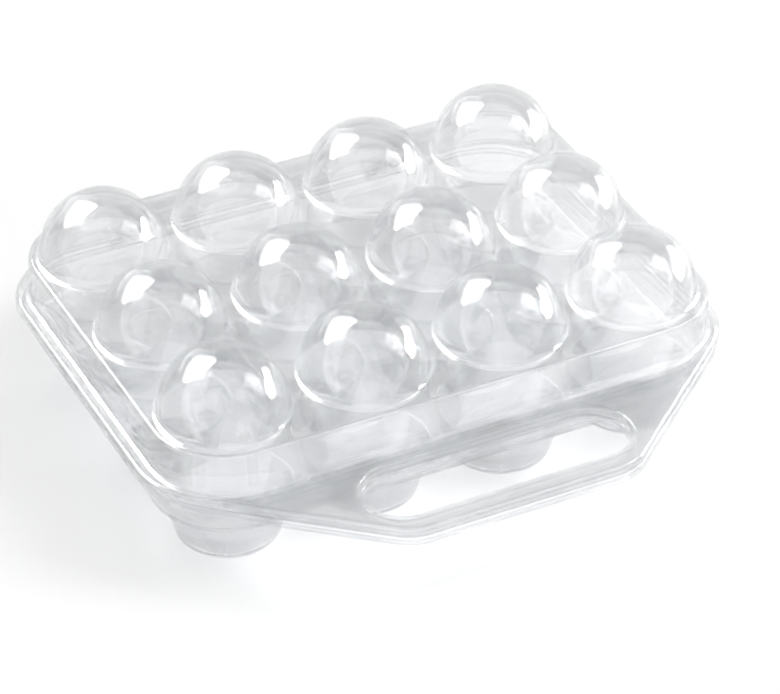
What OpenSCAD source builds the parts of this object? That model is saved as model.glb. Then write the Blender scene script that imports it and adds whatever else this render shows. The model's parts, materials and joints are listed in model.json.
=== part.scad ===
// Clear twelve-egg keeper: a tray with egg cups below and a flip lid with domes above.
// Millimetres, +Z up, +Y to the hinge at the back. The origin lies on the table, under the middle of the
// keeper's whole width and depth.

/* [Egg layout] */
// Distance between the middles of two neighbouring eggs
pitch = 56; // [54:0.5:62]
// Eggs side by side
columns = 4; // [3:1:5]
// Eggs from the handle to the hinge
rows = 3; // [2:1:4]

/* [Lid] */
// Wall thickness of the lid moulding
lid_wall = 1.4; // [1:0.1:1.6]
// Outer radius of each dome
dome_r = 24.3; // [22:0.1:25]
// Height of the dome's centre over the top of the lid's deck
dome_lift = 1.1; // [0.5:0.1:2]
// Radius of the hollow round at the foot of each dome
dome_foot_r = 2.2; // [1:0.1:2.5]
// Height of the lid's deck over its flange
lid_rise = 16.4; // [12:0.2:24]
// Radius of the round along the lid's shoulder
shoulder_r = 1.8; // [1.6:0.1:2.4]
// Radius of the hollow round where the lid's wall meets its flange
lid_foot_r = 1.5; // [1:0.1:2]
// Depth of the lid's turned-down edge
lid_edge_h = 3.8; // [3:0.1:6]

/* [Tray] */
// Wall thickness of the tray moulding
tray_wall = 1.6; // [1.2:0.1:2]
// Height of the tray's deck, where the cups open, over the table
deck_z = 21.6; // [18:0.2:26]
// Height of the top of the tray's flange over the table
flange_z = 34.4; // [30:0.2:42]
// Depth of the tray's turned-down edge
tray_edge_h = 3.6; // [3:0.1:6]
// Radius of the bend along the tray's bottom edge
tray_bend_r = 2.4; // [2:0.1:3]
// How much narrower the tray's flange is than the lid's along each side
side_step = 2.5; // [1:0.1:2.8]

/* [Egg cups] */
// Radius of the flat foot under each cup
cup_foot_r = 16; // [12:0.5:16]
// Radius of the round from a cup's foot to its wall
cup_bend_r = 4; // [3:0.1:5]
// Lean of a cup's wall from upright, in degrees
cup_lean = 16; // [10:0.5:17]
// Radius of the round at a cup's mouth, on its underside
cup_mouth_r = 1; // [0.6:0.1:1.2]

/* [Flange and handle] */
// Gap between the lid's wall and the outer egg's dome foot
wall_margin = 0.5; // [0.4:0.1:2]
// Width of the lid's flange along each side
side_flange = 4.2; // [3.6:0.1:8]
// Width of the lid's flange along the back
back_flange = 2.4; // [2.3:0.1:5]
// Radius of the round along the outer edge of both flanges
edge_r = 2; // [1.8:0.1:2.2]
// Radius of the flange's two back corners in plan
back_corner_r = 33.6; // [30:0.2:33.6]
// Radius of the flange's two front corners in plan
front_corner_r = 32.5; // [26:0.5:36]
// Distance from the front corners back to the middle of the first row of eggs
corner_reach = 13.4; // [10:0.2:18]
// Reach of the handle in front of the first row of eggs
handle_reach = 75; // [70:0.5:85]
// Width of the handle's front edge
handle_w = 90; // [84:1:120]
// Radius of the handle's two front corners in plan
handle_corner_r = 20; // [12:0.5:24]

/* [Finger slot] */
// Length of the finger slot
slot_l = 106; // [90:1:106]
// Width of the finger slot
slot_w = 29; // [24:0.5:30]
// Width of the bar in front of the slot, to the handle's front edge
slot_bar = 9.3; // [8:0.1:12]

/* [Hinge] */
// Radius of the hinge pins
pin_r = 1.5; // [1.2:0.05:2]
// Outer radius of the hinge barrels and ears
barrel_r = 3.4; // [3.2:0.1:4]
// Length of each hinge barrel on the lid
barrel_l = 14; // [10:0.5:20]
// Thickness of each hinge ear on the tray
ear_t = 4; // [3:0.2:6]
// Distance between the middles of the two hinges
hinge_span = 112; // [80:1:130]
// Width of the snap slot along each barrel
snap_w = 2.5; // [1.8:0.1:2.6]

/* [Fits] */
// Gap between the closed lid's edge and the tray's flange
seat_gap = 0.3; // [0.2:0.05:0.6]
// Radial gap between a hinge pin and its barrel
pin_gap = 0.05; // [0.03:0.01:0.1]
// Gap between a barrel's end and its ear
end_gap = 0.4; // [0.3:0.05:0.8]
// Gap between the flanges' outer edge and the barrels
barrel_gap = 1; // [0.8:0.1:2]

/* [Hidden] */
$fn = 96;
// Lean of both mouldings' walls from upright, in degrees
draft = 2;
// Each flat laps the bend that carries on from it by this much
lap = 0.08;
// A slanted stretch of edge lies this much inside the rounds that it meets
seam = 0.1;
// Height of the wedges that part an outline's rounds from its straight runs
big = 400;

function to_hundredth(v) = round(v * 100) / 100;

// Middles of the corner eggs, which are also the middles of the body's corners
core_x = (columns - 1) * pitch / 2;
core_y = (rows - 1) * pitch / 2;

// Heights
lid_flange_z = flange_z + seat_gap + lid_edge_h;
lid_deck_z = lid_flange_z + lid_rise;
dome_z = lid_deck_z + dome_lift;

// Dome foot: the round's middle lies clear of the dome's middle by both radii
foot_r = to_hundredth(sqrt(pow(dome_r + dome_foot_r, 2) - pow(dome_foot_r - dome_lift, 2)));
dome_mid = [0, dome_z];
foot_mid = [foot_r, lid_deck_z + dome_foot_r];

// Cup: the wall runs up along cup_up, with the foot round's middle on its inner side and the mouth round's outside
cup_out = [cos(cup_lean), -sin(cup_lean)];
cup_up = [sin(cup_lean), cos(cup_lean)];
cup_mids = cup_bend_r + cup_mouth_r;
mouth_z = deck_z - tray_wall - cup_mouth_r;
wall_l = (mouth_z - cup_bend_r + cup_mids * sin(cup_lean)) / cos(cup_lean);
bend_mid = [cup_foot_r, cup_bend_r];
mouth_mid = bend_mid + cup_mids * cup_out + wall_l * cup_up;
mouth_r = mouth_mid[0];

// Body radius, measured from the middles of the corner eggs
lid_body_r = foot_r + wall_margin + shoulder_r;
lid_lean = to_hundredth((lid_rise - shoulder_r - lid_foot_r) * tan(draft));
lid_wall_r = lid_body_r + lid_lean + lid_foot_r;
tray_low_r = to_hundredth(max(mouth_r + wall_margin, foot_r) + tray_bend_r);
top_bend_r = tray_wall + 0.4;
tray_lean = to_hundredth((flange_z - deck_z - top_bend_r) * tan(draft));
tray_top_r = tray_low_r + tray_lean + top_bend_r - tray_wall;

// Flange outlines, counter-clockwise from the front right corner
rim_x = core_x + lid_wall_r + side_flange;
rim_back = core_y + lid_wall_r + back_flange;
corner_y = -core_y - corner_reach;
handle_y = -core_y - handle_reach;
handle_slope = (corner_y - handle_y) / (rim_x - handle_w / 2);
rim_radii = [front_corner_r, back_corner_r, back_corner_r, front_corner_r, handle_corner_r, handle_corner_r];
slot_y = handle_y + slot_bar + slot_w / 2;

// Hinge axis
hinge_y = rim_back + barrel_gap + barrel_r;
hinge_z = flange_z + seat_gap / 2;

// Middle of the whole depth, measured from the middle of the eggs
middle_y = to_hundredth((handle_y + hinge_y + barrel_r) / 2);

function unit(v) = v / norm(v);
function angle_of(v) = atan2(v[1], v[0]);
function right_of(v) = [v[1], -v[0]];
function next(p, i) = p[(i + 1) % len(p)];
function last(p, i) = p[(i + len(p) - 1) % len(p)];

// Rounded corners of a convex outline that runs counter-clockwise
function back_way(p, i) = unit(last(p, i) - p[i]);
function fore_way(p, i) = unit(next(p, i) - p[i]);
function half_turn(p, i) = acos(back_way(p, i) * fore_way(p, i)) / 2;
function round_start(p, r, i) = p[i] + back_way(p, i) * r[i] / tan(half_turn(p, i));
function round_end(p, r, i) = p[i] + fore_way(p, i) * r[i] / tan(half_turn(p, i));
function round_mid(p, r, i) = p[i] + unit(back_way(p, i) + fore_way(p, i)) * r[i] / sin(half_turn(p, i));
// Points far outside, straight out from a round's middle before and after its turn
function before(p, r, i) = round_mid(p, r, i) - right_of(back_way(p, i)) * 2 * r[i];
function after(p, r, i) = round_mid(p, r, i) + right_of(fore_way(p, i)) * 2 * r[i];
function beyond(p, r, i) = round_mid(p, r, i) - unit(back_way(p, i) + fore_way(p, i)) * 4 * r[i];

// The flange's outline, drawn in by step along the two sides
function rim(step) = [
    [rim_x - step, corner_y - step * handle_slope],
    [rim_x - step, rim_back],
    [step - rim_x, rim_back],
    [step - rim_x, corner_y - step * handle_slope],
    [-handle_w / 2, handle_y],
    [handle_w / 2, handle_y]
];
function block(x, y) = [[x, -y], [x, y], [-x, y], [-x, -y]];
function same(r, n) = [for (i = [1 : n]) r];

// A convex outline with rounded corners, drawn in by inset all round
module outline(p, r, inset = 0) {
    polygon([
        for (i = [0 : len(p) - 1]) each [
            round_start(p, r, i) + right_of(back_way(p, i)) * inset,
            round_end(p, r, i) - right_of(fore_way(p, i)) * inset
        ]
    ]);
    for (i = [0 : len(p) - 1])
        translate(round_mid(p, r, i))
            circle(r[i] - inset);
}

// The child profile carried round an outline: its x runs outward from the line, its y upward
module around(p, r) {
    for (i = [0 : len(p) - 1]) {
        n = (i + 1) % len(p);
        out = right_of(fore_way(p, i));
        run = norm(round_start(p, r, n) - round_end(p, r, i));
        slanted = abs(out[0] * out[1]) > 0.001;
        if (run > 0.01)
            intersection() {
                translate(round_start(p, r, n) + fore_way(p, i))
                    rotate([0, 0, angle_of(out)])
                        rotate([90, 0, 0])
                            linear_extrude(run + 2)
                                translate([slanted ? -seam : 0, 0])
                                    children();
                linear_extrude(big)
                    polygon([round_mid(p, r, i), after(p, r, i), before(p, r, n), round_mid(p, r, n)]);
            }
        intersection() {
            translate(round_mid(p, r, i))
                rotate_extrude()
                    translate([r[i], 0])
                        children();
            linear_extrude(big)
                polygon([round_mid(p, r, i), before(p, r, i), beyond(p, r, i), after(p, r, i)]);
        }
    }
}

// A bend in a sheet: the ring between two radii, from one direction to another, under 180 degrees
module bend(inner, outer, from, to) {
    far = outer * 2;
    mid = (from + to) / 2;
    intersection() {
        difference() {
            circle(outer);
            circle(inner);
        }
        polygon([
            [0, 0],
            far * [cos(from), sin(from)],
            far * [cos(mid), sin(mid)],
            far * [cos(to), sin(to)]
        ]);
    }
}

module at_eggs() {
    for (i = [0 : columns - 1], j = [0 : rows - 1])
        translate([i * pitch - core_x, j * pitch - core_y, 0])
            children();
}

module body_outline(r) {
    outline(block(core_x + r, core_y + r), same(r, 4));
}

// A flat deck with a round hole at each egg
module deck(r, hole_r, top, wall) {
    translate([0, 0, top - wall])
        linear_extrude(wall)
            difference() {
                body_outline(r);
                at_eggs()
                    circle(hole_r);
            }
}

// A bend round mid in a profile, from the line to point p to the line straight up or down by drop
module bend_to(mid, inner, outer, p, drop) {
    intersection() {
        translate(mid)
            difference() {
                circle(outer);
                circle(inner);
            }
        polygon([mid, p, p + [0, drop], mid + [0, drop]]);
    }
}

// One dome with its hollow foot round and the narrow disc that joins the deck
module dome() {
    rotate_extrude() {
        bend_to(dome_mid, dome_r - lid_wall, dome_r, foot_mid, 2 * dome_r);
        bend_to(foot_mid, dome_foot_r, dome_foot_r + lid_wall, dome_mid, -2 * dome_r);
        translate([foot_r, lid_deck_z - lid_wall])
            square([2 * lap, lid_wall]);
    }
}

// One egg cup with its flat foot, leaning wall and rounded mouth
module cup() {
    low = bend_mid + cup_mids * cup_out;
    high = mouth_mid - cup_mids * cup_out;
    skin = bend_mid + cup_bend_r * cup_out;
    rotate_extrude() {
        square([cup_foot_r, tray_wall]);
        bend_to(bend_mid, cup_bend_r - tray_wall, cup_bend_r, low, -2 * cup_bend_r);
        intersection() {
            polygon([bend_mid, low, mouth_mid, high]);
            polygon([
                skin - wall_l * cup_up,
                skin + 2 * wall_l * cup_up,
                skin + 2 * wall_l * cup_up - tray_wall * cup_out,
                skin - wall_l * cup_up - tray_wall * cup_out
            ]);
        }
        bend_to(mouth_mid, cup_mouth_r, cup_mouth_r + tray_wall, high, 2 * cup_bend_r);
        translate([mouth_r, deck_z - tray_wall])
            square([2 * lap, tray_wall]);
    }
}

// Profile of the lid's shoulder, wall and foot round, from the deck's edge outward
module lid_side() {
    fall = lid_flange_z + lid_foot_r;
    translate([-shoulder_r - 2 * lap, lid_deck_z - lid_wall])
        square([2 * lap, lid_wall]);
    translate([-shoulder_r, lid_deck_z - shoulder_r])
        bend(shoulder_r - lid_wall, shoulder_r, 0, 90);
    polygon([
        [0, lid_deck_z - shoulder_r],
        [-lid_wall, lid_deck_z - shoulder_r],
        [lid_lean - lid_wall, fall],
        [lid_lean, fall]
    ]);
    translate([lid_lean + lid_foot_r, fall])
        bend(lid_foot_r, lid_foot_r + lid_wall, 180, 270);
    translate([lid_lean + lid_foot_r, lid_flange_z - lid_wall])
        square([2 * lap, lid_wall]);
}

// Profile of the tray's bottom bend, wall and top bend, from the deck's edge outward
module tray_side() {
    low = deck_z - tray_wall + tray_bend_r;
    high = flange_z - top_bend_r;
    translate([-tray_bend_r - 2 * lap, deck_z - tray_wall])
        square([2 * lap, tray_wall]);
    translate([-tray_bend_r, low])
        bend(tray_bend_r - tray_wall, tray_bend_r, -90, 0);
    polygon([
        [0, low],
        [tray_lean, high],
        [tray_lean - tray_wall, high],
        [-tray_wall, low]
    ]);
    translate([tray_lean + top_bend_r - tray_wall, high])
        bend(top_bend_r - tray_wall, top_bend_r, 90, 180);
    translate([tray_lean + top_bend_r - tray_wall, flange_z - tray_wall])
        square([2 * lap, tray_wall]);
}

// Profile of a flange's turned-down edge, from the outline inward
module edge_profile(top, h, wall) {
    translate([-edge_r - 2 * lap, top - wall])
        square([2 * lap, wall]);
    translate([-edge_r, top - edge_r])
        bend(edge_r - wall, edge_r, 0, 90);
    translate([-wall, top - h])
        square([wall, h - edge_r]);
}

module slot_collar(top, h, wall) {
    translate([0, slot_y, 0])
        around(block(slot_l / 2, slot_w / 2), same(slot_w / 2, 4))
            mirror([1, 0])
                edge_profile(top, h, wall);
}

// A flange with its finger slot, its turned-down edge and the slot's collar
module flange(step, body_r, top, h, wall) {
    translate([0, 0, top - wall])
        linear_extrude(wall)
            difference() {
                outline(rim(step), rim_radii, edge_r + lap);
                body_outline(body_r + lap);
                translate([0, slot_y])
                    outline(block(slot_l / 2, slot_w / 2), same(slot_w / 2, 4), -edge_r - lap);
            }
    around(rim(step), rim_radii)
        edge_profile(top, h, wall);
    slot_collar(top, h, wall);
}

// A web that carries a hinge barrel or ear on the flange's back edge, lying along x
module hinge_web(l, low, high) {
    translate([-l / 2, rim_back - lid_wall / 2, low])
        cube([l, hinge_y - rim_back + lid_wall / 2, high - low]);
}

module lid_barrels() {
    for (x = [-hinge_span / 2, hinge_span / 2])
        translate([x, 0, 0])
            difference() {
                union() {
                    translate([-barrel_l / 2, hinge_y, hinge_z])
                        rotate([0, 90, 0])
                            cylinder(h = barrel_l, r = barrel_r);
                    hinge_web(barrel_l, hinge_z + seat_gap, hinge_z + barrel_r);
                }
                translate([-barrel_l, hinge_y, hinge_z])
                    rotate([0, 90, 0])
                        cylinder(h = 2 * barrel_l, r = pin_r + pin_gap);
                translate([-barrel_l, hinge_y - snap_w / 2, hinge_z - 2 * barrel_r])
                    cube([2 * barrel_l, snap_w, 2 * barrel_r]);
            }
}

module tray_ears() {
    ear_x = barrel_l / 2 + end_gap;
    for (x = [-hinge_span / 2, hinge_span / 2])
        translate([x, 0, 0]) {
            for (side = [-1, 1])
                translate([side * (ear_x + ear_t / 2), 0, 0]) {
                    translate([-ear_t / 2, hinge_y, hinge_z])
                        rotate([0, 90, 0])
                            cylinder(h = ear_t, r = barrel_r);
                    hinge_web(ear_t, hinge_z - barrel_r, hinge_z - seat_gap);
                }
            translate([-ear_x - ear_t / 2, hinge_y, hinge_z])
                rotate([0, 90, 0])
                    cylinder(h = 2 * ear_x + ear_t, r = pin_r);
        }
}

module lid_cover() {
    color("aliceblue", 0.5)
        translate([0, -middle_y, 0]) {
            deck(lid_body_r - shoulder_r - lap, foot_r + lap, lid_deck_z, lid_wall);
            at_eggs()
                dome();
            around(block(core_x + lid_body_r, core_y + lid_body_r), same(lid_body_r, 4))
                lid_side();
            flange(0, lid_wall_r, lid_flange_z, lid_edge_h, lid_wall);
            lid_barrels();
        }
}

module base_tray() {
    color("lightcyan", 0.5)
        translate([0, -middle_y, 0]) {
            deck(tray_low_r - tray_bend_r - lap, mouth_r + lap, deck_z, tray_wall);
            at_eggs()
                cup();
            around(block(core_x + tray_low_r, core_y + tray_low_r), same(tray_low_r, 4))
                tray_side();
            flange(side_step, tray_top_r, flange_z, tray_edge_h, tray_wall);
            tray_ears();
        }
}

base_tray();
lid_cover();
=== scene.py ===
# %% [markdown]
# # A clear egg keeper, rebuilt as two thin mouldings
# The real keeper is two injection mouldings of clear plastic: a tray with twelve egg cups, and a lid with
# twelve domes that flips up on a rear hinge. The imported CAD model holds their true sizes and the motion. This
# file draws the same two mouldings again as fine, welded skins with a real wall thickness, because clear
# plastic is seen through: every facet and every gap between two patches would show as a line in it.

# %% Load the frame
import json
import math

import bpy
import numpy as np
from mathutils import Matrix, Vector

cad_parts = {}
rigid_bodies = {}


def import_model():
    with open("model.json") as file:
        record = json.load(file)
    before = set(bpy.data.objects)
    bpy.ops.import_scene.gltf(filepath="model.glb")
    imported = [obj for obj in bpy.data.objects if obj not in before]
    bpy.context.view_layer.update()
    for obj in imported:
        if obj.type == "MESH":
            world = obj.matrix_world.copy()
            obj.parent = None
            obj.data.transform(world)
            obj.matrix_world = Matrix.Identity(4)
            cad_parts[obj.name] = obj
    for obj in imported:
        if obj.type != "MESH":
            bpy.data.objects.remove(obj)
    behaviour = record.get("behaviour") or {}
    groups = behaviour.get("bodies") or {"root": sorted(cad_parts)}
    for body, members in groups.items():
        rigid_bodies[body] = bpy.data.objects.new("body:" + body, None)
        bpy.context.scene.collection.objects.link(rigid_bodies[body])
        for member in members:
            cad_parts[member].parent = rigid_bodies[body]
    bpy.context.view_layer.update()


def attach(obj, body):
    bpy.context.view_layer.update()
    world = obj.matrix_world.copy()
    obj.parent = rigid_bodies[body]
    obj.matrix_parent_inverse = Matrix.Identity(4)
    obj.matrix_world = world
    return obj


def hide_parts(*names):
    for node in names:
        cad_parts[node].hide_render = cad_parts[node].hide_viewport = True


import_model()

# %% [markdown]
# ## Egg spaces and heights
# An egg space is a square cell of one pitch, and twelve cells make the body. Working in millimetres keeps the
# numbers readable, so the mesh is scaled to metres only when it is written. The heights follow one another
# from the table up: the tray's deck and flange, then the lid's flange and deck. Plan positions are measured
# from the middle of the eggs, which lies a little behind the keeper's own middle.

# %% Egg spaces and heights in millimetres
MM = 0.001
EGGS_Y = 17.03
PITCH, COLUMNS, ROWS = 56.0, 4, 3
CORE = np.array([(COLUMNS - 1) * PITCH / 2, (ROWS - 1) * PITCH / 2])
TRAY_WALL, TRAY_DECK, TRAY_FLANGE = 1.6, 21.6, 34.4
LID_WALL, LID_FLANGE, LID_DECK = 1.4, 38.5, 54.9
print("the eggs' middles span", 2 * CORE, "mm; decks at", TRAY_DECK, "and", LID_DECK, "mm")

# %% [markdown]
# ## Profiles
# Each wall of the mouldings is the same few arcs carried round something: an axis for a dome or a cup, the
# body's outline for the walls, the rim's outline for the turned-down edges. A profile is therefore a plain
# list of points, distance outward first and height second, put together from arcs and straight runs. Arcs give
# an even spread of points where the surface turns, which is where reflections bend.

# %% Profile helpers
def arc(mid, radius, start, end, steps):
    """Points on a circle: the middle plus the radius times cosine and sine, from start to end in degrees."""
    a = np.radians(np.linspace(start, end, steps + 1))
    return np.column_stack([mid[0] + radius * np.cos(a), mid[1] + radius * np.sin(a)])


def joined(*runs):
    """Runs of points end to end, without the points that repeat the one before them."""
    p = np.vstack(runs)
    keep = np.r_[True, np.linalg.norm(np.diff(p, axis=0), axis=1) > 1e-6]
    return p[keep]


print("a quarter round in 8 steps has", len(arc((0, 0), 1, 90, 0, 8)), "points")

# %% [markdown]
# ## A dome's profile
# A dome is the cap of a sphere a little larger than an egg. It runs into the lid's deck over a small hollow
# round, which lets the melt flow and keeps the corner from cracking. Where sphere and round touch, their
# middles and the point between them lie on one line, so the foot's radius follows from the other sizes.

# %% Dome profile
DOME_R, DOME_Z, DOME_FOOT_R = 24.3, 56.0, 2.2
dome_rise = LID_DECK + DOME_FOOT_R - DOME_Z
DOME_FOOT = math.sqrt((DOME_R + DOME_FOOT_R) ** 2 - dome_rise ** 2)
LID_DECK_EDGE = DOME_FOOT + 0.5
dome_tilt = math.degrees(math.atan2(dome_rise, DOME_FOOT))
dome_profile = joined(arc((0, DOME_Z), DOME_R, 90, dome_tilt, 26),
                      arc((DOME_FOOT, LID_DECK + DOME_FOOT_R), DOME_FOOT_R, 180 + dome_tilt, 270, 8))
print("dome foot radius", round(DOME_FOOT, 2), "mm, profile of", len(dome_profile), "points")

# %% [markdown]
# ## A cup's profile
# A cup stands on a flat foot, turns up over a round, and leans out so that the moulding leaves its mould. At
# the mouth it rolls over into the tray's deck. The profile is drawn on the plastic's upper side, so each round
# differs from its outer one by the wall, and the leaning run between the two rounds touches both.

# %% Cup profile
CUP_FOOT, CUP_BEND, CUP_LEAN, CUP_MOUTH = 16.0, 4.0, math.radians(16), 1.0
TRAY_DECK_EDGE = 26.48
lean_out = np.array([math.cos(CUP_LEAN), -math.sin(CUP_LEAN)])
lean_up = np.array([math.sin(CUP_LEAN), math.cos(CUP_LEAN)])
bend_mid = np.array([CUP_FOOT, CUP_BEND])
mouth_height = TRAY_DECK - TRAY_WALL - CUP_MOUTH
wall_run = (mouth_height - CUP_BEND + (CUP_BEND + CUP_MOUTH) * math.sin(CUP_LEAN)) / math.cos(CUP_LEAN)
mouth_mid = bend_mid + (CUP_BEND + CUP_MOUTH) * lean_out + wall_run * lean_up
cup_profile = joined([[0, TRAY_WALL], [CUP_FOOT * 0.5, TRAY_WALL]],
                     arc(bend_mid, CUP_BEND - TRAY_WALL, -90, -math.degrees(CUP_LEAN), 8),
                     arc(mouth_mid, CUP_MOUTH + TRAY_WALL, 180 - math.degrees(CUP_LEAN), 90, 8))
print("cup mouth radius", round(float(mouth_mid[0]), 2), "mm, profile of", len(cup_profile), "points")

# %% [markdown]
# ## From grids to faces
# Every surface of the keeper is a grid: rows of points, one above the other. Its faces join each point to its
# neighbours, and only their numbering matters, so a few small helpers serve all the surfaces. A grid may close
# on itself, as round a cup, and its first ring may shrink to a pole, as on top of a dome.

# %% Faces of a grid
def strip(rows, columns, closed):
    """Quads of a grid: each joins a point, the next in its row, and the two above them."""
    i, j = np.meshgrid(np.arange(rows - 1), np.arange(columns if closed else columns - 1), indexing="ij")
    n = (j + 1) % columns
    q = np.stack([i * columns + j, i * columns + n, (i + 1) * columns + n, (i + 1) * columns + j], axis=-1)
    return q.reshape(-1, 4)


def swept(grid, closed=True, flip=False):
    """A grid of points as a patch: its points in a list, and its quads, turned over if flip is set."""
    q = strip(grid.shape[0], grid.shape[1], closed)
    return grid.reshape(-1, 3), q[:, ::-1] if flip else q


def polar(grid, pole):
    """A grid of rings closed by a fan at its pole."""
    points, quads = swept(grid, flip=True)
    n = grid.shape[1]
    first = np.arange(n)
    fan = np.column_stack([np.full(n, len(points)), first, (first + 1) % n, (first + 1) % n])
    return np.vstack([points, pole]), np.vstack([quads, fan])


def at_height(plan, z):
    """Plan points with one height for each row of them."""
    z = np.broadcast_to(np.reshape(z, (-1,) + (1,) * (plan.ndim - 2)), plan.shape[:-1])
    return np.concatenate([plan, z[..., None]], axis=-1)


print("a closed grid of 3 rings of 8 points has", len(strip(3, 8, True)), "quads")

# %% [markdown]
# ## One egg cell
# A dome is a surface of revolution, but its cell is a square, or a quarter-round at the body's corners. The
# cell's grid keeps the same directions all the way: the profile is turned about the middle, and past its last
# ring the points slide in straight lines to where their direction meets the cell's border. Neighbours share
# the points on their common border, so the skins weld without a seam. A Boolean of spheres and a slab would
# be quicker to write, but its thin triangles would show in clear plastic.

# %% Cell directions and borders
TURNS = 72
angle = np.arange(TURNS) * 2 * np.pi / TURNS
RING = np.round(np.column_stack([np.cos(angle), np.sin(angle)]), 12)
BORDER = RING / np.abs(RING).max(axis=1, keepdims=True)


def cell_middles():
    """Column and row of each egg space, and its middle: the index times the pitch, less half the span."""
    i, j = np.meshgrid(np.arange(COLUMNS), np.arange(ROWS), indexing="ij")
    ij = np.column_stack([i.ravel(), j.ravel()])
    return ij, ij * PITCH - CORE


def cell_border(ij, edge):
    """The cell's border: half a pitch on sides with a neighbour, the deck's edge on sides without one.

    In the body's corner quadrants the border is the circle of that radius about the cell's middle.
    """
    last = np.array([COLUMNS - 1, ROWS - 1])
    outside = np.where(BORDER > 0, ij == last, ij == 0)
    reach = np.where(outside, edge, PITCH / 2)
    corner = outside.all(axis=1) & (np.abs(BORDER).min(axis=1) > 1e-9)
    return np.where(corner[:, None], RING * edge, BORDER * reach)


print("egg spaces:", len(cell_middles()[0]), "with", TURNS, "directions each")

# %% All the cells of one moulding
FLAT_STEPS = 3


def turned_cells(profile, edge):
    """Grids of all the cells: radius times direction along the profile, then a straight slide to the border."""
    patches = []
    for ij, middle in zip(*cell_middles()):
        rings = profile[1:, 0, None, None] * RING[None]
        t = np.linspace(0, 1, FLAT_STEPS + 1)[1:, None, None]
        slide = rings[-1][None] * (1 - t) + cell_border(ij, edge)[None] * t
        heights = np.concatenate([profile[1:, 1], np.full(FLAT_STEPS, profile[-1, 1])])
        grid = at_height(np.concatenate([rings, slide]) + middle, heights)
        patches.append(polar(grid, np.array([*middle, profile[0, 1]])))
    return patches


domes = turned_cells(dome_profile, LID_DECK_EDGE)
cups = turned_cells(cup_profile, TRAY_DECK_EDGE)
print(len(domes), "domes of", len(domes[0][1]), "faces,", len(cups), "cups of", len(cups[0][1]))

# %% [markdown]
# ## The body's outline
# Seen from above, the body is a rectangle through the outer eggs' middles with a radius round it. So a point
# on the outline is the nearest place on that rectangle plus a radius along its own normal, and any offset
# keeps the same normals. The outline takes the points that the outer cells' borders already have, so walls
# and deck weld.

# %% Body outline
def body_loop(edge):
    """Border points of the outer cells in order round the body: each one's nearest middle, and its normal."""
    ij, middles = cell_middles()
    p = np.vstack([cell_border(k, edge) + m for k, m in zip(ij, middles)])
    q = np.clip(p, -CORE, CORE)
    d = np.linalg.norm(p - q, axis=1)
    on = np.abs(d - edge) < 1e-6
    p, q, d = p[on], q[on], d[on]
    order = np.argsort(np.arctan2(p[:, 1], p[:, 0]))
    p, q, d = p[order], q[order], d[order]
    new = np.r_[True, np.linalg.norm(np.diff(p, axis=0), axis=1) > 1e-6]
    return q[new], ((p - q) / d[:, None])[new]


print("points round the body:", len(body_loop(LID_DECK_EDGE)[0]))

# %% [markdown]
# ## Walls
# The lid's wall drops from the deck over a shoulder, leans out a little so that the moulding leaves its mould,
# and turns out into the flange over a hollow round. The tray's wall does the same upward. Both are their
# profile carried round the body's outline, which keeps the wall's lean and rounds the same all the way.

# %% Wall profiles and surfaces
LID_SHOULDER, LID_FOOT, LID_LEAN = 1.8, 1.5, 0.46
TRAY_BEND, TRAY_TOP_BEND, TRAY_LEAN = 2.4, 2.0, 0.38

lid_foot_x = LID_SHOULDER + LID_LEAN + LID_FOOT
lid_profile = joined(arc((0, LID_DECK - LID_SHOULDER), LID_SHOULDER, 90, 0, 7),
                     arc((lid_foot_x, LID_FLANGE + LID_FOOT), LID_FOOT, 180, 270, 7))
tray_turn = TRAY_BEND - TRAY_WALL
tray_top_x = tray_turn + TRAY_LEAN + TRAY_TOP_BEND
tray_profile = joined(arc((0, TRAY_DECK + tray_turn), tray_turn, -90, 0, 7),
                      arc((tray_top_x, TRAY_FLANGE - TRAY_TOP_BEND), TRAY_TOP_BEND, 180, 90, 7))


def wall_patch(profile, deck_edge):
    """The profile carried round the body: each middle plus its normal times the deck's edge plus the offset."""
    middle, normal = body_loop(deck_edge)
    plan = middle + normal * (deck_edge + profile[:, :1, None])
    return swept(at_height(plan, profile[:, 1]), flip=True)


lid_wall = wall_patch(lid_profile, LID_DECK_EDGE)
tray_wall = wall_patch(tray_profile, TRAY_DECK_EDGE)
print("wall faces: lid", len(lid_wall[1]), "tray", len(tray_wall[1]))

# %% [markdown]
# ## The rim's outline
# The rim that a hand lifts is a convex outline of six rounded corners: four at the body and two where it
# narrows to the handle. It is sampled finely once, as points with their normals, and the flange's border then
# picks from those samples the ones that each ray from the body, or from the finger slot, runs into. Working
# out each crossing exactly would take a case for every corner and run, and the samples lie closer together
# than the eye can see.

# %% Rim outline
RIM_X, RIM_BACK = 118.94, 89.14
CORNER_Y, HANDLE_Y, HANDLE_HALF = -69.4, -131.0, 45.0
RIM_RADII = np.array([32.5, 33.6, 33.6, 32.5, 20.0, 20.0])
ARC_SAMPLES, RUN_SAMPLES = 500, 1000


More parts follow.
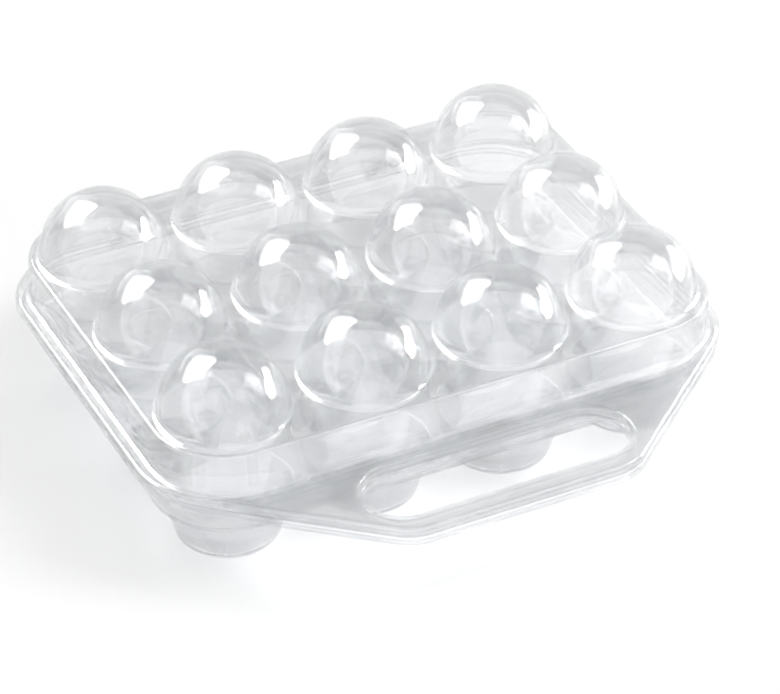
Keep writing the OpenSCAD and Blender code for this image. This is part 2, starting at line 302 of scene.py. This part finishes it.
def rim_samples(step, inset):
    """Points along the rim's outline with their outward normals, drawn in by inset.

    Each corner is an arc whose middle lies on the bisector, its radius over the sine of half the angle away
    from the corner; the runs between the arcs are straight.
    """
    slope = (CORNER_Y - HANDLE_Y) / (RIM_X - HANDLE_HALF)
    x = RIM_X - step
    corners = np.array([[x, CORNER_Y - step * slope], [x, RIM_BACK], [-x, RIM_BACK],
                        [-x, CORNER_Y - step * slope], [-HANDLE_HALF, HANDLE_Y], [HANDLE_HALF, HANDLE_Y]])
    fore = np.roll(corners, -1, axis=0) - corners
    fore /= np.linalg.norm(fore, axis=1, keepdims=True)
    back = -np.roll(fore, 1, axis=0)
    half = np.arccos((fore * back).sum(axis=1)) / 2
    bisector = (fore + back) / np.linalg.norm(fore + back, axis=1, keepdims=True)
    mids = corners + bisector * (RIM_RADII / np.sin(half))[:, None]
    points, normals = [], []
    for i in range(6):
        turn = np.pi - 2 * half[i]
        start = np.arctan2(-bisector[i, 1], -bisector[i, 0]) - turn / 2
        a = start + np.linspace(0, turn, ARC_SAMPLES)
        n = np.column_stack([np.cos(a), np.sin(a)])
        points.append(mids[i] + n * RIM_RADII[i])
        normals.append(n)
        end = points[-1][-1]
        k = (i + 1) % 6
        target = corners[k] + back[k] * RIM_RADII[k] / np.tan(half[k])
        t = np.linspace(0, 1, RUN_SAMPLES)[1:-1, None]
        points.append(end * (1 - t) + target * t)
        normals.append(np.repeat(n[-1:], len(t), axis=0))
    points, normals = np.vstack(points), np.vstack(normals)
    return points - normals * inset, normals


def ray_hits(starts, ways, points):
    """For each ray, the outline sample nearest to it: least distance across the ray, ahead of its start."""
    d = points[None] - starts[:, None]
    across = np.abs(d[..., 0] * ways[:, None, 1] - d[..., 1] * ways[:, None, 0])
    ahead = (d * ways[:, None]).sum(axis=2)
    return np.argmin(np.where(ahead > 0, across, 1e9), axis=1)


print("rim outline:", len(rim_samples(0, 0)[0]), "samples, keeper", 2 * RIM_X, "mm wide")

# %% [markdown]
# ## Finger slot
# The flange is flat, and goes from the foot of the body's wall to the rim. Beside and behind the body each ray
# runs straight out from the wall. In front of the body lies the handle with its finger slot, and there the
# rays fan out from the slot instead, so its round ends get points of their own. The two parts share two short
# cuts at the body's front corners, and weld there.

# %% Rays out of the finger slot
SLOT_Y, SLOT_L, SLOT_W = -107.2, 106.0, 29.0
SLOT_CORE = SLOT_L / 2 - SLOT_W / 2
END_RAYS, SIDE_RAYS = 24, 33


def slot_middles(p):
    """The slot is all points at one radius from a straight core, so a point's middle is its nearest on it."""
    return np.column_stack([np.clip(p[:, 0], -SLOT_CORE, SLOT_CORE), np.full(len(p), SLOT_Y)])


def handle_rays(left, right):
    """Starts and ways of rays from the core to the rim: even turns round each end, even steps between them."""
    a = np.arctan2(left[1] - SLOT_Y, left[0] + SLOT_CORE) % (2 * np.pi)
    b = np.arctan2(right[1] - SLOT_Y, right[0] - SLOT_CORE)
    down = 1.5 * np.pi
    turn = np.r_[np.linspace(a, down, END_RAYS + 2)[1:-1], np.full(SIDE_RAYS, down),
                 np.linspace(down, 2 * np.pi + b, END_RAYS + 2)[1:-1]]
    x = np.r_[np.full(END_RAYS, -SLOT_CORE), np.linspace(-SLOT_CORE, SLOT_CORE, SIDE_RAYS),
              np.full(END_RAYS, SLOT_CORE)]
    starts = np.column_stack([x, np.full(len(x), SLOT_Y)])
    return starts, np.column_stack([np.cos(turn), np.sin(turn)])


print("handle rays:", len(handle_rays((-RIM_X, CORNER_Y), (RIM_X, CORNER_Y))[0]))

# %% [markdown]
# ## Flange, turned-down edge and collar
# A flat sheet this thin would bend in the hand, so the moulding turns down all round: at the rim as an edge,
# and round the finger slot as a collar, where the fingers also want something smooth. Both are one profile, a
# quarter round with a straight drop and a soft lip, carried along the flange's outer and inner borders.

# %% Flange surfaces
EDGE_R, LID_EDGE, TRAY_EDGE = 2.0, 3.8, 3.6
SIDE_STEP = 2.5
LEAST_FLAT = 0.05
LIP = [(0, 0.25), (-0.08, 0.07), (-0.3, 0)]


def turned_edge(top, height):
    """Profile of a turned-down edge: a quarter round from level to upright, a straight drop, a soft lip."""
    return joined(arc((-EDGE_R, top - EDGE_R), EDGE_R, 90, 0, 8), [(x, top - height + z) for x, z in LIP])


def flange(top, deck_edge, wall_offset, step, edge_height):
    """Patches of the flat flange, of its turned-down rim, and of the collar round the finger slot.

    At the front corners the wall nearly meets the rim, so there the flat keeps a least width.
    """
    middle, normal = body_loop(deck_edge)
    wall = middle + normal * (deck_edge + wall_offset)
    rim, rim_normal = rim_samples(step, EDGE_R)
    hits = ray_hits(middle, normal, rim)
    flat = ((rim[hits] - wall) * normal).sum(axis=1)
    line = rim[hits] + normal * np.maximum(LEAST_FLAT - flat, 0)[:, None]

    front = np.flatnonzero((np.abs(normal[:, 0]) < 1e-9) & (normal[:, 1] < 0))
    beside = np.r_[front[-1]:len(wall), 0:front[0] + 1]
    patches = [swept(at_height(np.stack([wall[beside], line[beside]]), top), closed=False, flip=True)]

    starts, ways = handle_rays(line[front[0]], line[front[-1]])
    handle = ray_hits(starts, ways, rim)
    border = np.vstack([wall[front[::-1]], line[front[:1]], rim[handle], line[front[-1:]]])
    core = slot_middles(border)
    way = (border - core) / np.linalg.norm(border - core, axis=1, keepdims=True)
    hole = core + way * (SLOT_W / 2 + EDGE_R)
    t = np.linspace(0, 1, FLAT_STEPS + 1)[:, None, None]
    patches.append(swept(at_height(hole * (1 - t) + border * t, np.full(FLAT_STEPS + 1, top)), flip=True))

    edge = turned_edge(top, edge_height)
    collar = core + way * (SLOT_W / 2 - edge[:, :1, None])
    patches.append(swept(at_height(collar, edge[:, 1])))

    run = np.r_[hits[beside], handle]
    skirt = rim[run] + rim_normal[run] * (EDGE_R + edge[:, :1, None])
    skirt[0, :len(beside)] = line[beside]
    patches.append(swept(at_height(skirt, edge[:, 1]), flip=True))
    return patches


lid_flange = flange(LID_FLANGE, LID_DECK_EDGE, lid_foot_x, 0.0, LID_EDGE)
tray_flange = flange(TRAY_FLANGE, TRAY_DECK_EDGE, tray_top_x, SIDE_STEP, TRAY_EDGE)
print("flange faces: lid", sum(len(q) for _, q in lid_flange), "tray", sum(len(q) for _, q in tray_flange))

# %% [markdown]
# ## Hinge ears and pins
# Nothing of the hinge shows in the photograph. Keepers of this kind have moulded pins between small ears at
# the tray's back, and slotted barrels on the lid that snap over them. An ear is a round tab with a web to the
# flange and a pin is a plain round bar, so both are an outline across the hinge, pushed along its axis. The
# ends are drawn in a little, as a mould leaves them.

# %% Outlines pushed along the hinge
HINGE_Y, HINGE_Z, HINGE_SPAN = 93.54, 34.55, 112.0
PIN_R, BARREL_R, BARREL_L, EAR_T = 1.5, 3.4, 14.0, 4.0
END_GAP, WEB_GAP = 0.4, 0.3
WEB_ROOT = RIM_BACK - 0.7
PIN_ROOT = 1.0
HINGE_XS = (-HINGE_SPAN / 2, HINGE_SPAN / 2)


def pushed(outline, x0, x1, round_over=0.3):
    """A closed y-z outline pushed along x, its two ends drawn in a little and closed by a fan."""
    mid = outline.mean(axis=0)
    x = np.array([x0, x0, x0 + round_over, x1 - round_over, x1, x1])
    size = 1 - np.array([1, round_over / 4, 0, 0, round_over / 4, 1])
    rows = [np.column_stack([np.full(len(outline), a), mid + (outline - mid) * s]) for a, s in zip(x, size)]
    return swept(np.stack(rows), flip=True)


def tray_hinges():
    """Each hinge's two ears, a gap beyond the barrel's ends, and the pin that reaches into both of them."""
    ear = np.vstack([arc((HINGE_Y, HINGE_Z), BARREL_R, -90, 180, 24),
                     [[WEB_ROOT, HINGE_Z - WEB_GAP], [WEB_ROOT, HINGE_Z - BARREL_R]]])
    pin = arc((HINGE_Y, HINGE_Z), PIN_R, 0, 360, 32)[:-1]
    reach = BARREL_L / 2 + END_GAP
    patches = []
    for x in HINGE_XS:
        for mid in (x - reach - EAR_T / 2, x + reach + EAR_T / 2):
            patches.append(pushed(ear, mid - EAR_T / 2, mid + EAR_T / 2))
        patches.append(pushed(pin, x - reach - PIN_ROOT, x + reach + PIN_ROOT))
    return patches


print("tray hinges:", len(tray_hinges()), "ears and pins")

# %% [markdown]
# ## Hinge barrels
# A barrel has to snap over its pin, so it is a C in section, open below by a slot a little narrower than the
# pin. The C is one loop, out along the outer circle and back along the bore, pushed along the axis as the ears
# are. A fan can't close such an end, so quads across the C's thickness do.

# %% Barrels and their webs
SNAP_W, PIN_GAP = 2.5, 0.05


def barrel(x0, x1):
    """The C pushed along x: outer and inner rows side by side, closed at both ends by the ring between them.

    Each circle stops where half the slot's width is the radius times the sine of the angle from straight down.
    """
    bore = PIN_R + PIN_GAP
    out = math.degrees(math.asin(SNAP_W / 2 / BARREL_R))
    inn = math.degrees(math.asin(SNAP_W / 2 / bore))
    outer = arc((HINGE_Y, HINGE_Z), BARREL_R, -90 + out, 270 - out, 36)
    inner = arc((HINGE_Y, HINGE_Z), bore, 270 - inn, -90 + inn, 36)
    loop = np.vstack([outer, inner])
    rows = np.stack([np.column_stack([np.full(len(loop), x), loop]) for x in (x0, x1)])
    points, quads = swept(rows, flip=True)
    n, k = len(loop), np.arange(len(outer) - 1)
    cap = np.column_stack([k, k + 1, n - 2 - k, n - 1 - k])
    return points, np.vstack([quads, cap[:, ::-1], cap + n])


def lid_hinges():
    """Each hinge's barrel, and the web that carries it from the lid's flange."""
    web_low, web_top = HINGE_Z + WEB_GAP, HINGE_Z + BARREL_R - WEB_GAP
    web = np.array([[WEB_ROOT, web_low], [HINGE_Y - BARREL_R + 0.6, web_low],
                    [HINGE_Y - 1.2, web_top], [WEB_ROOT, web_top]])
    patches = []
    for x in HINGE_XS:
        patches.append(barrel(x - BARREL_L / 2, x + BARREL_L / 2))
        patches.append(pushed(web, x - BARREL_L / 2 + 0.2, x + BARREL_L / 2 - 0.2))
    return patches


print("lid hinges:", len(lid_hinges()), "barrels and webs")

# %% [markdown]
# ## From patches to a welded skin
# The patches of one moulding are stacked into one list of points and faces, and points that fall together are
# merged, which closes every border between neighbours. Rounding each place to a small step and keeping one
# point for each rounded place does that for the whole list at once.

# %% Weld the patches
WELD = 2e-6


def mesh_of(name, patches):
    """One mesh from many patches: points stacked, indices shifted, coincident points merged."""
    shift = np.cumsum([0] + [len(p) for p, _ in patches[:-1]])
    points = (np.vstack([p for p, _ in patches]) + (0, EGGS_Y, 0)) * MM
    quads = np.vstack([q + s for (_, q), s in zip(patches, shift)])
    _, first, inverse = np.unique(np.round(points / WELD).astype(np.int64), axis=0,
                                  return_index=True, return_inverse=True)
    points, quads = points[first], inverse.ravel()[quads]
    faces = [list(dict.fromkeys(f)) for f in quads.tolist()]
    mesh = bpy.data.meshes.new(name)
    mesh.from_pydata(points.tolist(), [], [f for f in faces if len(f) > 2])
    mesh.shade_smooth()
    mesh.validate()
    print(name, "points", len(mesh.vertices), "faces", len(mesh.polygons))
    return mesh


# %% [markdown]
# ## From skins to mouldings
# Solidify gives each skin its real wall thickness, on the side away from its faces. The hinge's solids are
# closed already, so they join after that. The result rides on its body and stands for its CAD node, which stays
# in the model for collision. Edges sharper than fifty degrees keep their crease; all else shades smoothly.

# %% Thicken, join and put in place
def moulding(name, skin, hinge, wall, node, body):
    """The skin thickened to its wall, joined to the hinge's solids, and set in place of its CAD node."""
    obj = bpy.data.objects.new(name, mesh_of(name, skin))
    bpy.context.scene.collection.objects.link(obj)
    thick = obj.modifiers.new("wall", "SOLIDIFY")
    thick.thickness, thick.offset, thick.use_even_offset = wall * MM, -1, True
    shell = bpy.data.meshes.new_from_object(obj.evaluated_get(bpy.context.evaluated_depsgraph_get()))
    obj.modifiers.clear()
    hinge_mesh = mesh_of(name + "_hinge", hinge)
    n = len(shell.vertices)
    points = [v.co[:] for v in shell.vertices] + [v.co[:] for v in hinge_mesh.vertices]
    faces = [p.vertices[:] for p in shell.polygons]
    faces += [[i + n for i in p.vertices] for p in hinge_mesh.polygons]
    whole = bpy.data.meshes.new(name + "_whole")
    whole.from_pydata(points, [], faces)
    whole.shade_smooth()
    whole.set_sharp_from_angle(angle=math.radians(50))
    obj.data = whole
    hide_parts(node)
    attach(obj, body)
    print(name, "triangles", sum(len(p.vertices) - 2 for p in whole.polygons))
    return obj


lid = moulding("lid_moulding", domes + [lid_wall] + lid_flange, lid_hinges(), LID_WALL,
               "lid_cover", "lid")
tray = moulding("tray_moulding", cups + [tray_wall] + tray_flange, tray_hinges(), TRAY_WALL,
                "base_tray", "tray")

# %% [markdown]
# ## Shader maths
# Shader maths reads best as Python. The small class below wraps a socket so that an expression such as
# 1 - mask adds its own Math node, and one method makes any other node from its settings and inputs.

# %% Shader expressions
class Wire:
    """A socket in a material, with the operators that the expressions below use."""

    def __init__(self, tree, socket):
        self.tree, self.socket = tree, socket

    def node(self, kind, settings=None, **inputs):
        """A node with its settings and inputs; an input is named by its words, or _0, _1 by its place."""
        made = self.tree.nodes.new(kind)
        for name, value in (settings or {}).items():
            setattr(made, name, value)
        for name, value in inputs.items():
            socket = made.inputs[int(name[1:])] if name[0] == "_" else made.inputs[name.replace("_", " ")]
            if isinstance(value, Wire):
                self.tree.links.new(value.socket, socket)
            else:
                socket.default_value = value
        return made

    def out(self, kind, output=0, **inputs):
        """The same, as the wire that leaves the new node."""
        return Wire(self.tree, self.node(kind, **inputs).outputs[output])

    def math(self, operation, a, b):
        return self.out("ShaderNodeMath", settings={"operation": operation}, _0=a, _1=b)

    def __add__(self, other):
        return self.math("ADD", self, other)

    def __mul__(self, other):
        return self.math("MULTIPLY", self, other)

    def __rsub__(self, other):
        return self.math("SUBTRACT", other, self)

    __radd__, __rmul__ = __add__, __mul__


def new_material(name):
    """An empty node material, the wire that its expressions start from, and its output node."""
    material = bpy.data.materials.new(name)
    material.use_nodes = True
    tree = material.node_tree
    tree.nodes.clear()
    return material, Wire(tree, None), tree.nodes.new("ShaderNodeOutputMaterial")


# %% [markdown]
# ## Clear plastic
# The keeper is one clear, colourless plastic with a polished skin. Moulded plastic is never quite even: the
# melt leaves broad, faint waves in the wall, and handling leaves a fine haze. Both are made from noise on
# Object coordinates. A wall this thin hardly bends what lies behind it, and a path tracer that only refracts
# turns its edges black where paths end inside the wall, so about half of the light goes straight through.
# Rays that look for a light lose a share at each face and go on, or the keeper's shadow would be as dark as
# a wooden box's.

# %% Clear plastic material
STRAIGHT = 0.55
PLASTIC_TINT, STRAIGHT_TINT = (0.968, 0.971, 0.975, 1), (0.972, 0.975, 0.979, 1)
SHADOW_TINT = (0.42, 0.425, 0.43, 1)
WAVE_SCALE, HAZE_SCALE = 28.0, 260.0
POLISH, HAZE = 0.012, 0.02


def clear_plastic(name, shift):
    """Refracting plastic mixed with a straight view through it; shift moves the noise, so the pieces differ."""
    material, w, end = new_material(name)
    place = w.out("ShaderNodeTexCoord", "Object")
    moved = w.out("ShaderNodeMapping", Vector=place, Location=(shift, 0, 0))
    wave = w.out("ShaderNodeTexNoise", Vector=moved, Scale=WAVE_SCALE, Detail=1.0)
    haze = w.out("ShaderNodeTexNoise", Vector=moved, Scale=HAZE_SCALE, Detail=3.0)
    bump = w.out("ShaderNodeBump", Height=wave, Strength=0.04, Distance=0.002)
    plastic = w.out("ShaderNodeBsdfPrincipled", Base_Color=PLASTIC_TINT, Roughness=POLISH + haze * HAZE,
                    Normal=bump, IOR=1.49, Transmission_Weight=1.0)
    clear = w.out("ShaderNodeBsdfTransparent", Color=STRAIGHT_TINT)
    shade = w.out("ShaderNodeBsdfTransparent", Color=SHADOW_TINT)
    seen = w.out("ShaderNodeMixShader", _0=STRAIGHT, _1=plastic, _2=clear)
    mix = w.out("ShaderNodeMixShader", _0=w.out("ShaderNodeLightPath", "Is Shadow Ray"), _1=seen, _2=shade)
    w.tree.links.new(mix.socket, end.inputs["Surface"])
    return material


lid.data.materials.append(clear_plastic("clear_lid_plastic", 0.0))
tray.data.materials.append(clear_plastic("clear_tray_plastic", 3.0))
print("plastic:", [m.name for m in (lid.active_material, tray.active_material)])

# %% [markdown]
# ## Floor
# The keeper stands on a plain pale floor that runs out of the picture. Most of what is seen of it is its own
# lit and shadowed colour, and a tenth is a glow of strength 1, for the camera and for rays that have come
# through the plastic, so that the floor looks white and still keeps the keeper's shadow.

# %% White floor
FLOOR_COLOUR, FLOOR_GLOW, FLOOR_HALF = (0.86, 0.86, 0.86, 1), 0.10, 6.0


def white_floor():
    """A flat square sheet at height 0; the mix of colour and glow is the ray's share times the glow's share."""
    mesh = bpy.data.meshes.new("floor")
    corners = [(x * FLOOR_HALF, y * FLOOR_HALF, 0) for x, y in ((-1, -1), (1, -1), (1, 1), (-1, 1))]
    mesh.from_pydata(corners, [], [(0, 1, 2, 3)])
    obj = bpy.data.objects.new("floor", mesh)
    bpy.context.scene.collection.objects.link(obj)
    material, w, end = new_material("floor_white")
    matte = w.out("ShaderNodeBsdfDiffuse", Color=FLOOR_COLOUR)
    glow = w.out("ShaderNodeEmission", Color=(1, 1, 1, 1), Strength=1.0)
    seen = w.out("ShaderNodeLightPath", "Is Camera Ray") + w.out("ShaderNodeLightPath", "Is Transmission Ray")
    mix = w.out("ShaderNodeMixShader", _0=seen * FLOOR_GLOW, _1=matte, _2=glow)
    w.tree.links.new(mix.socket, end.inputs["Surface"])
    mesh.materials.append(material)


white_floor()
print("floor of", 2 * FLOOR_HALF, "m")

# %% [markdown]
# ## Room
# The room round the keeper is white where the camera sees it, and lights the floor at about the same level, at
# which a colour renders as it is written. The plastic mirrors and bends a light grey room instead: its edges
# are drawn by that grey against the white floor, as they are in the photograph.

# %% World
ROOM_GREY, CAMERA_LIFT, FLOOR_LIFT = 0.68, 0.32, 0.30

world = bpy.data.worlds.new("studio")
bpy.context.scene.world = world
world.use_nodes = True
world.node_tree.nodes.clear()
sky = Wire(world.node_tree, None)
camera_ray = sky.out("ShaderNodeLightPath", "Is Camera Ray")
diffuse_ray = sky.out("ShaderNodeLightPath", "Is Diffuse Ray")
room = sky.out("ShaderNodeBackground", Color=(1, 1, 1, 1),
               Strength=ROOM_GREY + camera_ray * CAMERA_LIFT + diffuse_ray * FLOOR_LIFT)
sky.tree.links.new(room.socket, sky.tree.nodes.new("ShaderNodeOutputWorld").inputs["Surface"])
print("room:", ROOM_GREY, "in the plastic,", ROOM_GREY + CAMERA_LIFT, "behind the keeper")

# %% [markdown]
# ## Softboxes
# The domes mirror three softboxes: a large one behind the keeper to the left, high up, one standing low on the
# right, and a dimmer one over the front right. The first two are there for those highlights alone. On the
# floor they would draw long shadows and the domes' bright rings, so they don't light it.

# %% Softboxes
def softbox(name, way, distance, width, height, power, lights_floor=True):
    """An area light at a distance along a direction from the keeper, facing it."""
    data = bpy.data.lights.new(name, "AREA")
    data.shape, data.size, data.size_y, data.energy = "RECTANGLE", width, height, power
    obj = bpy.data.objects.new(name, data)
    way = Vector(way).normalized()
    obj.location = Vector((0, 0, 0.05)) + way * distance
    obj.rotation_euler = way.to_track_quat("Z", "Y").to_euler()
    obj.visible_diffuse = lights_floor
    bpy.context.scene.collection.objects.link(obj)
    print(name, power, "W at", distance, "m")


softbox("softbox_back_left", (-0.31, 0.56, 0.60), 1.6, 1.2, 1.0, 55, lights_floor=False)
softbox("softbox_right", (0.96, 0.0, 0.20), 1.3, 0.9, 0.45, 20, lights_floor=False)
softbox("softbox_front_right", (0.61, -0.30, 0.73), 1.5, 0.6, 0.6, 8)

# %% [markdown]
# ## Camera
# The photograph was taken from the front left, with a long lens, looking down at about a third of a right
# angle. The camera's place was worked out from the twelve dome tops and the rim.

# %% Camera
IMAGE_W = 780
AZIMUTH, ELEVATION = math.radians(-26.47), math.radians(35.58)
DISTANCE, FOCAL_PX, SENSOR_MM = 1.290, 3521.0, 36.0
LOOK_AT = Vector((-0.0148, -0.0331, 0.0560))

away = Vector((math.sin(AZIMUTH) * math.cos(ELEVATION), -math.cos(AZIMUTH) * math.cos(ELEVATION),
               math.sin(ELEVATION)))
camera_data = bpy.data.cameras.new("camera")
camera_data.sensor_fit, camera_data.sensor_width = "HORIZONTAL", SENSOR_MM
camera_data.lens = SENSOR_MM * FOCAL_PX / IMAGE_W
camera = bpy.data.objects.new("camera", camera_data)
camera.location = LOOK_AT + away * DISTANCE
camera.rotation_euler = away.to_track_quat("Z", "Y").to_euler()
bpy.context.scene.collection.objects.link(camera)
bpy.context.scene.camera = camera
bpy.context.scene.view_settings.view_transform = "Standard"
print("camera lens", round(camera_data.lens, 1), "mm,", DISTANCE, "m away")
